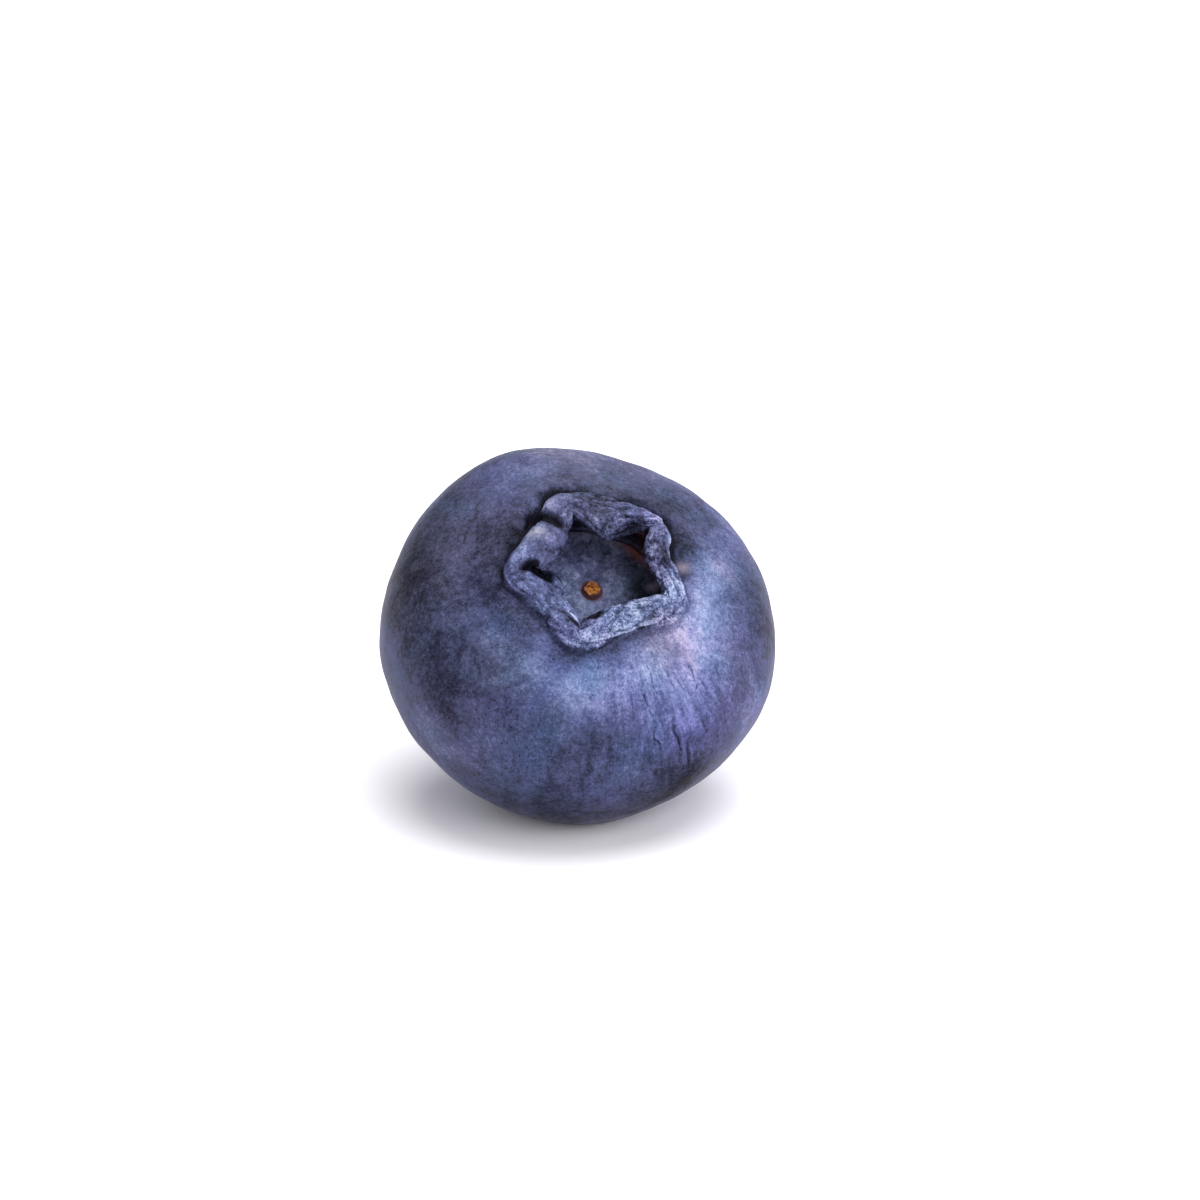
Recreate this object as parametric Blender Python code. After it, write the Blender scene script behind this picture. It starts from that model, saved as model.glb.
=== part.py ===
# A single blueberry at its real size, lying on a small flat spot with its crown leaning forward.
# The fruit is one grown body: skin, five folded crown lobes, sunken disc and stem scar are one solid.
#
# The berry's own frame has its origin at the body's middle and +Z through the crown.
# A point there is given in millimetres by its radius from that axis, its height along it,
# and its longitude, which runs from +X and is counter-clockwise when the crown is looked at.

import math

import bmesh
import bpy
import numpy as np
from mathutils import Matrix

MM = 0.001

# The body is an oblate round with a squarish meridian.
BODY_RADIUS = 8.0
CROWN_DEPTH = 4.95
STEM_DEPTH = 6.1
MERIDIAN_POWER = 2.25

# The berry lies with its crown leaning towards -Y and turned a little towards +X.
LEAN = math.radians(39.0)
TURN = math.radians(16.0)
BODY_MIDDLE = (0.0, -0.19, 6.88)

# The stem scar is a shallow round pit at the other pole.
SCAR_RADIUS = 1.1
SCAR_DEPTH = 0.35

# The crown starts from the shoulder at this radius, and its rim lies at this height.
SHOULDER_RADIUS = 5.0
RIM_HEIGHT = 5.05
HOLLOW_DEPTH = 1.85
STYLE_RADIUS = 0.34
STYLE_RISE = 0.16

# Five notches part the rim into five lobes: the longitude and radius of each notch's inner corner.
MEAN_NOTCH_RADIUS = 2.75
NOTCHES = (
    {"longitude": 33, "radius": 3.05},
    {"longitude": 102, "radius": 2.55},
    {"longitude": 176, "radius": 2.25},
    {"longitude": 242, "radius": 2.60},
    {"longitude": 324, "radius": 2.72},
)

# The lobe after each notch: how near the axis its tip comes, how far it droops into the hollow,
# how many degrees its tip is swept round, how much the tip leans to the far notch,
# how full the lobe is between its notches (a low power is full), and how far its foot is pulled in.
MEAN_TIP_RADIUS = 1.7
LOBES = (
    {"tip": 1.45, "droop": 0.0, "sweep": 0, "skew": 1.05, "power": 0.80, "foot": -0.05},
    {"tip": 1.66, "droop": 0.0, "sweep": 0, "skew": 1.10, "power": 0.65, "foot": 0.35},
    {"tip": 1.28, "droop": 1.4, "sweep": -34, "skew": 0.95, "power": 0.60, "foot": 0.35},
    {"tip": 1.82, "droop": 0.0, "sweep": 0, "skew": 0.90, "power": 0.45, "foot": 0.50},
    {"tip": 2.02, "droop": 0.1, "sweep": 0, "skew": 1.50, "power": 0.70, "foot": 0.55},
)

# The crown's stations run from the shoulder over the rim, round the lobe's edge and down the wall:
# radius and height from the rim on a lobe's middle, the same on a notch, then how far the
# point follows the tip's own reach, the droop and the foot. A point that follows the tip less is
# rounder in plan, and one that follows it by SHARP_REACH or more has the lobe's own fullness.
ROUND_POWER = 1.8
SHARP_REACH = 0.4
CROWN_STATIONS = (
    ((4.30, -0.54), (4.50, -0.62), 0.0, 0.0, 0.3),
    ((3.80, -0.44), (4.02, -0.50), 0.0, 0.0, 0.9),
    ((3.58, -0.40), (3.80, -0.44), 0.0, 0.0, 1.0),
    ((3.42, -0.20), (3.66, -0.22), 0.0, 0.0, 1.0),
    ((3.08, 0.00), (3.45, -0.04), 0.1, 0.05, 0.5),
    ((2.55, 0.14), (3.16, 0.03), 0.4, 0.35, 0.1),
    ((2.06, 0.12), (2.94, 0.00), 0.8, 0.75, 0.0),
    ((1.72, -0.02), (2.79, -0.10), 1.0, 1.0, 0.0),
    ((1.66, -0.25), (2.74, -0.28), 1.0, 1.0, 0.0),
    ((2.00, -0.42), (2.76, -0.46), 0.7, 0.9, 0.0),
    ((2.55, -0.56), (2.82, -0.66), 0.2, 0.6, 0.0),
    ((2.88, -0.90), (2.92, -0.96), 0.0, 0.3, 0.0),
    ((2.98, -1.40), (2.98, -1.42), 0.0, 0.1, 0.0),
)

# From the foot of the wall over the ring where the flower was, across the disc to the style:
# radius, and height from the disc.
DISC_STATIONS = (
    (2.88, 0.05),
    (2.68, 0.14),
    (2.44, 0.00),
    (1.70, 0.02),
    (1.00, 0.03),
    (STYLE_RADIUS + 0.14, -0.03),
    (STYLE_RADIUS, 0.00),
    (STYLE_RADIUS - 0.06, STYLE_RISE),
    (0.0, STYLE_RISE),
)

# The real fruit isn't quite round: azimuth and elevation in degrees, width in degrees and
# height in millimetres of each low swelling or hollow of its skin, as it lies.
SWELLINGS = (
    {"azimuth": 51, "elevation": 64, "width": 20, "height": -0.30},
    {"azimuth": 135, "elevation": 61, "width": 22, "height": 0.32},
    {"azimuth": 173, "elevation": 19, "width": 18, "height": -0.09},
    {"azimuth": -176, "elevation": -9, "width": 24, "height": 0.09},
    {"azimuth": -29, "elevation": -52, "width": 20, "height": -0.20},
    {"azimuth": -7, "elevation": -19, "width": 24, "height": 0.13},
    {"azimuth": 11, "elevation": 26, "width": 22, "height": 0.06},
    {"azimuth": 105, "elevation": -70, "width": 27, "height": 1.0},
)

# How finely the skin is divided.
COLUMNS_PER_LOBE = 16
BODY_RINGS = 24

SKIN_COLOUR = (0.075, 0.095, 0.215, 1.0)
SKIN_ROUGHNESS = 0.55


def clear_scene():
    """Remove whatever the scene holds."""
    for item in list(bpy.data.objects):
        bpy.data.objects.remove(item, do_unlink=True)


def body_profile(angle):
    """Radius and height of the plain body at an angle from its widest ring, on a superellipse."""
    depth = np.where(angle > 0, CROWN_DEPTH, STEM_DEPTH)
    power = 2.0 / MERIDIAN_POWER
    radius = BODY_RADIUS * np.abs(np.cos(angle)) ** power
    height = depth * np.sign(angle) * np.abs(np.sin(angle)) ** power
    height = height + SCAR_DEPTH * np.exp(-((radius / SCAR_RADIUS) ** 4)) * (angle < 0)
    return radius, height


def body_rings():
    """Radius and height of each ring from the stem scar's middle to the shoulder."""
    shoulder = math.acos((SHOULDER_RADIUS / BODY_RADIUS) ** (MERIDIAN_POWER / 2.0))
    angles = np.linspace(-math.pi / 2.0, shoulder, BODY_RINGS + 1)
    radius, height = body_profile(angles)
    radius[0] = 0.0
    return np.stack([radius, height], axis=-1)


def column_place(column):
    """The lobe that a column lies on and how far across it the column is, from 0 to under 1."""
    lobe, step = divmod(column, COLUMNS_PER_LOBE)
    return lobe, step / COLUMNS_PER_LOBE


def column_longitude(column):
    """A column's longitude in degrees: the columns are even across each lobe and meet every notch."""
    lobe, share = column_place(column)
    start = NOTCHES[lobe]["longitude"]
    end = NOTCHES[(lobe + 1) % len(NOTCHES)]["longitude"]
    return start + share * ((end - start) % 360)


def crown_rings(column):
    """Radius, height and longitude of each crown and disc station on one column.

    Each crown station is mixed from its place on a lobe and its place on a notch.
    """
    place, share = column_place(column)
    lobe = LOBES[place]
    swing = math.sin(math.pi * share ** lobe["skew"])
    pull = lobe["foot"] * math.sin(math.pi * share) ** ROUND_POWER
    near = NOTCHES[place]["radius"]
    far = NOTCHES[(place + 1) % len(NOTCHES)]["radius"]
    tip_shift = lobe["tip"] - MEAN_TIP_RADIUS
    notch_shift = near + share * (far - near) - MEAN_NOTCH_RADIUS
    longitude = column_longitude(column)
    points = []
    for on_lobe, on_notch, reach, droop, foot in CROWN_STATIONS:
        sharp = min(1.0, reach / SHARP_REACH)
        fullness = swing ** (ROUND_POWER + sharp * (lobe["power"] - ROUND_POWER))
        lobe_radius = on_lobe[0] + reach * tip_shift
        notch_radius = on_notch[0] + reach * notch_shift
        radius = notch_radius + fullness * (lobe_radius - notch_radius) - foot * pull
        height = on_notch[1] + fullness * (on_lobe[1] - on_notch[1]) - swing * droop * lobe["droop"]
        points.append((radius, RIM_HEIGHT + height, longitude + swing * droop * lobe["sweep"]))
    disc = RIM_HEIGHT - HOLLOW_DEPTH
    points += [(radius, disc + height, longitude) for radius, height in DISC_STATIONS]
    return np.array(points)


def meridian(column):
    """Radius, height and longitude of every ring on one column, from the stem scar to the style."""
    body = body_rings()
    longitude = np.full((len(body), 1), column_longitude(column))
    return np.concatenate([np.hstack([body, longitude]), crown_rings(column)])


def direction(azimuth, elevation):
    """A unit vector from its azimuth and elevation in degrees."""
    turn = math.radians(azimuth)
    rise = math.radians(elevation)
    return np.array([math.cos(rise) * math.cos(turn), math.cos(rise) * math.sin(turn), math.sin(rise)])


def swell(points):
    """Move points out from the body's middle by the sum of the swellings, each a bell over its width."""
    length = np.linalg.norm(points, axis=-1)
    unit = points / length[..., None]
    growth = np.zeros_like(length)
    for item in SWELLINGS:
        angle = np.arccos(np.clip(unit @ direction(item["azimuth"], item["elevation"]), -1.0, 1.0))
        growth += item["height"] * np.exp(-((np.degrees(angle) / item["width"]) ** 2))
    return points + unit * growth[..., None]


def berry_points():
    """Every ring and longitude of the skin as it lies, flattened where it meets the surface."""
    columns = range(COLUMNS_PER_LOBE * len(LOBES))
    profile = np.stack([meridian(column) for column in columns], axis=1)
    radius, height, longitude = np.moveaxis(profile, -1, 0)
    turn = np.radians(longitude)
    points = np.stack([radius * np.cos(turn), radius * np.sin(turn), height], axis=-1)
    lie = np.array(Matrix.Rotation(TURN, 3, "Z") @ Matrix.Rotation(LEAN, 3, "X"))
    points = swell(points @ lie.T) + np.array(BODY_MIDDLE)
    points[..., 2] = np.maximum(points[..., 2], 0.0)
    return points * MM


def skin_material():
    """Dark blue skin under a matt bloom."""
    material = bpy.data.materials.new("skin")
    material.use_nodes = True
    shader = material.node_tree.nodes["Principled BSDF"]
    shader.inputs["Base Color"].default_value = SKIN_COLOUR
    shader.inputs["Roughness"].default_value = SKIN_ROUGHNESS
    shader.inputs["Metallic"].default_value = 0.0
    return material


def make_berry():
    """Shape a ball of rings and columns into the berry: each of its points goes to its own place.

    The ball's columns lie on whole steps or half way between them, and both count as the step below.
    """
    points = berry_points()
    last_ring = len(points) - 1
    columns = points.shape[1]
    shape = bmesh.new()
    bmesh.ops.create_uvsphere(shape, u_segments=columns, v_segments=last_ring, radius=1.0)
    for vert in shape.verts:
        climb = 0.5 + math.asin(max(-1.0, min(1.0, vert.co.z))) / math.pi
        column = math.floor(math.atan2(vert.co.y, vert.co.x) / (2.0 * math.pi) * columns + 0.25)
        vert.co = points[round(climb * last_ring), column % columns]
    mesh = bpy.data.meshes.new("berry")
    shape.to_mesh(mesh)
    shape.free()
    mesh.shade_smooth()
    mesh.materials.append(skin_material())
    berry = bpy.data.objects.new("berry", mesh)
    bpy.context.collection.objects.link(berry)
    return berry


clear_scene()
make_berry()
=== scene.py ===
# The looks of a single blueberry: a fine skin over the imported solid, its bloom of wax, and soft
# light.
#
# The berry's own frame has its origin at the body's middle and +Z through the crown. Shapes are
# worked out there in millimetres, and go into the mesh in metres as the berry lies.

import math

import bpy
import numpy as np
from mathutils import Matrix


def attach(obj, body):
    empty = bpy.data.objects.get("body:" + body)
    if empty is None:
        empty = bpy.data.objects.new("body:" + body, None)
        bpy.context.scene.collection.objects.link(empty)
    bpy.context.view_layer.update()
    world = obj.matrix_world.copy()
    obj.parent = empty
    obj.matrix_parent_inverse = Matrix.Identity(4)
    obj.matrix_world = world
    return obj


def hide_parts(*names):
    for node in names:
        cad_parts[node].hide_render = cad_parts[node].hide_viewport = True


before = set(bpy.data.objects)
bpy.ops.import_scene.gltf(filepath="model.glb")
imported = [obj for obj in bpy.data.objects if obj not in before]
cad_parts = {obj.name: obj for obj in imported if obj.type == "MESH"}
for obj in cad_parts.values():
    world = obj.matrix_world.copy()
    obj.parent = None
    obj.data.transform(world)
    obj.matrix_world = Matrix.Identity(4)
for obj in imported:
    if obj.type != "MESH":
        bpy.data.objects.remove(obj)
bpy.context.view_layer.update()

MM = 0.001
TINY = 1e-9

# The same driving sizes as the solid's.
BODY_RADIUS = 8.0
CROWN_DEPTH = 4.95
STEM_DEPTH = 6.1
MERIDIAN_POWER = 2.25
LEAN = math.radians(39.0)
TURN = math.radians(16.0)
BODY_MIDDLE = np.array([0.0, -0.19, 6.88])
SCAR_RADIUS = 1.1
SCAR_DEPTH = 0.35
SHOULDER_RADIUS = 5.0
RIM_HEIGHT = 5.05
HOLLOW_DEPTH = 1.85
STYLE_RADIUS = 0.34
STYLE_RISE = 0.16

MEAN_NOTCH_RADIUS = 2.75
NOTCHES = (
    {"longitude": 33, "radius": 3.05},
    {"longitude": 102, "radius": 2.55},
    {"longitude": 176, "radius": 2.25},
    {"longitude": 242, "radius": 2.60},
    {"longitude": 324, "radius": 2.72},
)
MEAN_TIP_RADIUS = 1.7
LOBES = (
    {"tip": 1.45, "droop": 0.0, "sweep": 0, "skew": 1.05, "power": 0.80, "foot": -0.05},
    {"tip": 1.66, "droop": 0.0, "sweep": 0, "skew": 1.10, "power": 0.65, "foot": 0.35},
    {"tip": 1.28, "droop": 1.4, "sweep": -34, "skew": 0.95, "power": 0.60, "foot": 0.35},
    {"tip": 1.82, "droop": 0.0, "sweep": 0, "skew": 0.90, "power": 0.45, "foot": 0.50},
    {"tip": 2.02, "droop": 0.1, "sweep": 0, "skew": 1.50, "power": 0.70, "foot": 0.55},
)

# Radius and height from the rim on a lobe's middle, the same on a notch, then how far the point
# follows the tip's own reach, the droop and the foot. A point that follows the tip less is rounder
# in plan, and one that follows it by SHARP_REACH or more has the lobe's own fullness.
ROUND_POWER = 1.8
SHARP_REACH = 0.4
CROWN_STATIONS = (
    ((4.30, -0.54), (4.50, -0.62), 0.0, 0.0, 0.3),
    ((3.80, -0.44), (4.02, -0.50), 0.0, 0.0, 0.9),
    ((3.58, -0.40), (3.80, -0.44), 0.0, 0.0, 1.0),
    ((3.42, -0.20), (3.66, -0.22), 0.0, 0.0, 1.0),
    ((3.08, 0.00), (3.45, -0.04), 0.1, 0.05, 0.5),
    ((2.55, 0.14), (3.16, 0.03), 0.4, 0.35, 0.1),
    ((2.06, 0.12), (2.94, 0.00), 0.8, 0.75, 0.0),
    ((1.72, -0.02), (2.79, -0.10), 1.0, 1.0, 0.0),
    ((1.66, -0.25), (2.74, -0.28), 1.0, 1.0, 0.0),
    ((2.00, -0.42), (2.76, -0.46), 0.7, 0.9, 0.0),
    ((2.55, -0.56), (2.82, -0.66), 0.2, 0.6, 0.0),
    ((2.88, -0.90), (2.92, -0.96), 0.0, 0.3, 0.0),
    ((2.98, -1.40), (2.98, -1.42), 0.0, 0.1, 0.0),
)
DISC_STATIONS = (
    (2.88, 0.05),
    (2.68, 0.14),
    (2.44, 0.00),
    (1.70, 0.02),
    (1.00, 0.03),
    (STYLE_RADIUS + 0.14, -0.03),
    (STYLE_RADIUS, 0.00),
    (STYLE_RADIUS - 0.06, STYLE_RISE),
    (0.0, STYLE_RISE),
)
# Where the body is out of round: azimuth and elevation as the berry lies, width in degrees, and
# height in millimetres.
SWELLINGS = (
    {"at": (51, 64), "width": 20, "height": -0.30},
    {"at": (135, 61), "width": 22, "height": 0.32},
    {"at": (173, 19), "width": 18, "height": -0.09},
    {"at": (-176, -9), "width": 24, "height": 0.09},
    {"at": (-29, -52), "width": 20, "height": -0.20},
    {"at": (-7, -19), "width": 24, "height": 0.13},
    {"at": (11, 26), "width": 22, "height": 0.06},
    {"at": (105, -70), "width": 27, "height": 1.0},
)

# Small forms that the skin has and the solid hasn't: a groove round the crown, deepest on the upper
# side, folds and creases in the lobes, puckers below them, a cleft between the second lobe and the
# first, pits by three of the notches, one long crease in the third lobe, and a wart. A station is
# a row of CROWN_STATIONS and then of DISC_STATIONS, counted from 1, with 0 at the shoulder. Widths
# are in degrees, lengths along the skin in stations, and depths, heights and radii in millimetres.
UPPER_LONGITUDE = 72.0
GROOVE_STATION = 2.4
GROOVE_LENGTH = 0.6
GROOVE_DEPTH = 0.03
UPPER_GROOVE_DEPTH = 0.19
CREST_STATION = 4.0
FOLDS = {"count": 17.0, "station": 4.6, "length": 1.6, "height": 0.014}
PUCKERS = {"count": 23.0, "station": -1.0, "length": 4.0, "height": 0.012}
CREASES = {"around": 1.53, "along": 0.42, "across": 0.2, "gain": 1.3, "rise": 0.12}
CRUST_SINK = 0.08
# The cleft is also painted dark over its narrower second width: painted shade in the cleft.
CLEFT = {"longitude": 127.0, "width": 5.0, "shade_width": 4.5, "depth": 0.20, "slant": -2.5}
# A pit's last value is how dark it is painted within it: painted shade in the pit.
PITS = (
    {"longitude": 174, "station": 6.3, "width": 4.8, "length": 0.7, "depth": 0.42, "pit_shade": 1.0},
    {"longitude": 251, "station": 7.8, "width": 9.0, "length": 1.2, "depth": 0.26, "pit_shade": 0.8},
    {"longitude": 43, "station": 7.4, "width": 7.0, "length": 1.4, "depth": 0.18, "pit_shade": 0.1},
)
CREASE = {"longitude": 235.0, "station": 6.1, "width": 9.0, "length": 0.22, "depth": 0.06}
WART = {"at": (-25, 37), "width": 2.3}
WART_HEIGHT = 0.09
LOBE_ROUGHNESS = (0.70, 0.40, 0.60, 0.90, 0.75)
# The collar round the stem scar stands at this radius, and the cork ends over a range of radii.
SCAR_EDGE = 1.3
COLLAR_WIDTH = 0.16
COLLAR_HEIGHT = 0.05
CORK_FADE = (0.9, 1.2)
CORK_SINK = 0.02

# Ranges of stations over which one part's relief comes in or goes out.
BODY_FADE = (0.0, 1.5)
CLEFT_ONSET = (1.5, 3.0)
CLEFT_FADE = (6.5, 8.5)
LOBE_ONSET = (2.4, 4.0)
LOBE_FADE = (12.0, 14.0)
DISC_ONSET = (13.5, 15.0)
DISC_FADE = (18.0, 19.5)
STYLE_ONSET = (20.0, 20.6)
# Nothing that belongs to the body alone goes past this station, and the wart ends at the crest.
BODY_END = 3.0

# Random waves: each row is their length and height in millimetres, their seed, and how many are
# added up. The sways shift the folds and puckers by as many radians, the wander shifts the stations,
# and the creases' waves are drawn out as CREASES says before their length counts.
BODY_WAVES = (
    (3.2, 0.020, 1, 24),
    (1.1, 0.006, 2, 24),
)
CRUST_WAVES = (
    (0.9, 0.020, 3, 24),
    (0.34, 0.014, 4, 40),
)
DISC_WAVES = (
    (0.9, 0.012, 5, 24),
    (0.3, 0.006, 6, 24),
)
PUCKER_SWAY = ((4.0, 2.0, 7, 24),)
STATION_WANDER = ((1.0, 0.22, 8, 24),)
FOLD_SWAY = ((1.6, 1.6, 9, 24),)
STYLE_WAVES = ((0.16, 0.02, 10, 24),)
CREASE_WAVES = ((0.75, 1.0, 11, 30),)
CORK_WAVES = ((0.5, 0.03, 12, 24),)
# The shortest and the longest of a field's waves against their mean length.
WAVE_SPREAD = (0.7, 1.5)

# How finely the skin is divided, and how many rings below the shoulder the crown's curve is led in
# from.
COLUMNS_PER_LOBE = 84
BODY_RINGS = 60
RINGS_PER_STATION = 8
LEAD_RINGS = 4.0

# The photograph was taken from about this distance, looking down by this angle, with the body's
# middle at this point of its 1200 pixel frame and this focal length in the same pixels. The clip
# distances are in metres.
FRAME_PIXELS = 1200
CAMERA_DISTANCE = 100.0
LOOK_DOWN = math.radians(21.0)
FOCAL_PIXELS = 2453.0
MIDDLE_PIXEL = (578.4, 630.8)
SENSOR_WIDTH = 36.0
CLIP_START = 0.001
CLIP_END = 10.0


def body_profile(angle):
    """Radius and height of the plain body at an angle from its widest ring, on a superellipse.

    A bell round the stem's pole is pushed in for the stem scar.
    """
    depth = np.where(angle > 0, CROWN_DEPTH, STEM_DEPTH)
    power = 2.0 / MERIDIAN_POWER
    radius = BODY_RADIUS * np.abs(np.cos(angle)) ** power
    height = depth * np.sign(angle) * np.abs(np.sin(angle)) ** power
    height = height + SCAR_DEPTH * np.exp(-((radius / SCAR_RADIUS) ** 4)) * (angle < 0)
    return radius, height


def body_angles():
    """The angles of the body's rings, even from the stem's pole to the shoulder."""
    shoulder = math.acos((SHOULDER_RADIUS / BODY_RADIUS) ** (MERIDIAN_POWER / 2.0))
    return np.linspace(-math.pi / 2.0, shoulder, BODY_RINGS + 1)


def columns():
    """Each column's lobe, its share across that lobe from 0 to under 1, and its longitude in
    degrees."""
    count = len(LOBES)
    lobe = np.repeat(np.arange(count), COLUMNS_PER_LOBE)
    share = np.tile(np.arange(COLUMNS_PER_LOBE) / COLUMNS_PER_LOBE, count)
    starts = np.array([notch["longitude"] for notch in NOTCHES], dtype=float)
    widths = (np.roll(starts, -1) - starts) % 360.0
    return lobe, share, starts[lobe] + share * widths[lobe]


def of_lobe(name, lobe):
    """One of the lobes' values, on each column."""
    return np.array([item[name] for item in LOBES])[lobe]


def crown_controls():
    """Radius, height and longitude of each crown and disc station on every column.

    A station lies between its place on a notch and its place on a lobe's middle, mixed by a
    fullness, which is a power of a skewed half sine across the lobe. A drooping lobe sinks and is
    swept round.
    """
    lobe, share, longitude = columns()
    power = of_lobe("power", lobe)
    droop = of_lobe("droop", lobe)
    sweep = of_lobe("sweep", lobe)
    notch = np.array([item["radius"] for item in NOTCHES])
    swing = np.sin(math.pi * share ** of_lobe("skew", lobe))
    pull = of_lobe("foot", lobe) * np.sin(math.pi * share) ** ROUND_POWER
    tip_shift = of_lobe("tip", lobe) - MEAN_TIP_RADIUS
    next_notch = np.roll(notch, -1)[lobe]
    notch_shift = notch[lobe] + share * (next_notch - notch[lobe]) - MEAN_NOTCH_RADIUS
    rows = []
    for on_lobe, on_notch, reach, sag, follow in CROWN_STATIONS:
        sharp = min(1.0, reach / SHARP_REACH)
        fullness = swing ** (ROUND_POWER + sharp * (power - ROUND_POWER))
        notch_radius = on_notch[0] + reach * notch_shift
        lobe_radius = on_lobe[0] + reach * tip_shift
        radius = notch_radius + fullness * (lobe_radius - notch_radius) - follow * pull
        height = on_notch[1] + fullness * (on_lobe[1] - on_notch[1]) - swing * sag * droop
        swept = longitude + swing * sag * sweep
        rows.append(np.stack([radius, RIM_HEIGHT + height, swept], axis=-1))
    disc = RIM_HEIGHT - HOLLOW_DEPTH
    for radius, height in DISC_STATIONS:
        same = np.ones_like(longitude)
        rows.append(np.stack([radius * same, (disc + height) * same, longitude], axis=-1))
    return np.stack(rows)


def spline(controls, places):
    """A Catmull-Rom curve through the first axis of the controls, read at fractional places."""
    last = len(controls) - 1
    start = np.clip(np.floor(places).astype(int), 0, last - 1)
    share = (places - start)[:, None, None]
    before = controls[np.maximum(start - 1, 0)]
    near = controls[start]
    far = controls[start + 1]
    after = controls[np.minimum(start + 2, last)]
    return 0.5 * (
        2.0 * near
        + (far - before) * share
        + (2.0 * before - 5.0 * near + 4.0 * far - after) * share ** 2
        + (3.0 * near - before - 3.0 * far + after) * share ** 3
    )


def ring_points(angles, longitude):
    """Radius, height and longitude of the plain body's rings at some angles, on every column."""
    radius, height = body_profile(angles)
    return np.stack(np.broadcast_arrays(radius[:, None], height[:, None], longitude), axis=-1)


def skin_grid():
    """Radius, height and longitude of the whole skin, ring by ring, and each ring's station.

    Below the shoulder the rings follow the body's formula, with negative station numbers, and above
    it they follow a curve through the crown's and disc's stations.
    """
    longitude = columns()[2]
    angles = body_angles()
    step = angles[1] - angles[0]
    body = ring_points(angles, longitude)
    body[0, :, 0] = 0.0
    lead = ring_points(angles[-1:] - LEAD_RINGS * step, longitude)
    controls = np.concatenate([lead, body[-1:], crown_controls()])
    places = np.arange(1.0, len(controls) - 1.0 + TINY, 1.0 / RINGS_PER_STATION)[1:]
    upper = spline(controls, places)
    upper[-1, :, 0] = 0.0
    stations = np.concatenate([np.linspace(-BODY_RINGS, 0.0, BODY_RINGS + 1), places - 1.0])
    return np.concatenate([body, upper]), stations


def direction(azimuth, elevation):
    """A unit vector from its azimuth and elevation in degrees."""
    turn = math.radians(azimuth)
    rise = math.radians(elevation)
    level = math.cos(rise)
    return np.array([level * math.cos(turn), level * math.sin(turn), math.sin(rise)])


def hump(value, place, width):
    """1 where a value is at its place, falling off as a bell over a width either way."""
    return np.exp(-(((value - place) / width) ** 2))


def bell(unit, at, width):
    """1 where a unit vector is at an azimuth and elevation, falling off as a bell over a width."""
    angle = np.arccos(np.clip(unit @ direction(*at), -1.0, 1.0))
    return hump(np.degrees(angle), 0.0, width)


def ripples(points, length, seed, count):
    """A smooth random field from -1 to 1 or so: plane waves of about one length, in random
    directions, added up."""
    draw = np.random.default_rng(seed)
    way = draw.normal(size=(count, 3))
    way /= np.linalg.norm(way, axis=1)[:, None]
    way *= 2.0 * math.pi / (length * draw.uniform(*WAVE_SPREAD, count))[:, None]
    phase = draw.uniform(0.0, 2.0 * math.pi, count)
    total = np.zeros(points.shape[:-1])
    for one, start in zip(way, phase):
        total += np.sin(points @ one + start)
    return total / math.sqrt(count / 2.0)


def waves(points, rows):
    """Random fields of several lengths and heights, added up."""
    total = 0.0
    for length, height, seed, count in rows:
        total = total + height * ripples(points, length, seed, count)
    return total


def smooth(low, high, value):
    """0 below low, 1 above high, and an even curve between."""
    share = np.clip((value - low) / (high - low), 0.0, 1.0)
    return share * share * (3.0 - 2.0 * share)


def between(onset, fade, value):
    """0 up to one range, 1 after it as far as a second range, and 0 after that."""
    return smooth(*onset, value) * (1.0 - smooth(*fade, value))


def lie_matrix():
    """The turn that lays the berry's own frame down as the berry lies."""
    lean = np.array(
        [[1, 0, 0], [0, math.cos(LEAN), -math.sin(LEAN)], [0, math.sin(LEAN), math.cos(LEAN)]]
    )
    turn = np.array(
        [[math.cos(TURN), -math.sin(TURN), 0], [math.sin(TURN), math.cos(TURN), 0], [0, 0, 1]]
    )
    return turn @ lean


def grid_normals(points):
    """Each grid point's outward direction: the cross product of the steps between its neighbours
    round and along the skin."""
    along = np.gradient(points, axis=0)
    around = np.roll(points, -1, axis=1) - np.roll(points, 1, axis=1)
    normal = np.cross(around, along)
    length = np.linalg.norm(normal, axis=-1)[..., None]
    return normal / np.maximum(length, TINY)


def grid_faces(rings, count):
    """Quads between rings, with a fan at each pole, wound so that they face out."""
    across = np.arange(count)
    beyond = (across + 1) % count
    lower = 1 + np.arange(rings - 3)[:, None] * count
    upper = lower + count
    quads = np.stack([lower + across, lower + beyond, upper + beyond, upper + across], axis=-1)
    top = (rings - 2) * count + 1
    first = np.stack([np.zeros(count, int), 1 + beyond, 1 + across], axis=-1)
    last = np.stack([np.full(count, top), top - count + across, top - count + beyond], axis=-1)
    return quads.reshape(-1, 4).tolist() + first.tolist() + last.tolist()


def across_lobes(longitude, values):
    """A value for each lobe, blended round the crown from one lobe's middle to the next."""
    starts = np.array([notch["longitude"] for notch in NOTCHES], dtype=float)
    middles = starts + 0.5 * ((np.roll(starts, -1) - starts) % 360.0)
    return np.interp(longitude, middles, values, period=360.0)


def far_side(longitude):
    """1 on the side of the crown that faces up as the berry lies, 0 on the side near the floor, and
    a cosine between."""
    return 0.5 + 0.5 * np.cos(np.radians(longitude - UPPER_LONGITUDE))


def beside(longitude, place, width):
    """1 on one longitude of the crown, falling off as a bell over a width in degrees."""
    away = (longitude - place + 180.0) % 360.0 - 180.0
    return hump(away, 0.0, width)


def on_patch(longitude, station, patch):
    """1 in the middle of a patch of the crown, falling off as a bell round it and across it."""
    along = hump(station, patch["station"], patch["length"])
    return along * beside(longitude, patch["longitude"], patch["width"])


def in_cleft(longitude, station, width):
    """1 along the slanting cleft between the second lobe and the first, falling off as a bell."""
    place = CLEFT["longitude"] + CLEFT["slant"] * (station - CREST_STATION)
    return beside(longitude, place, width)


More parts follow.
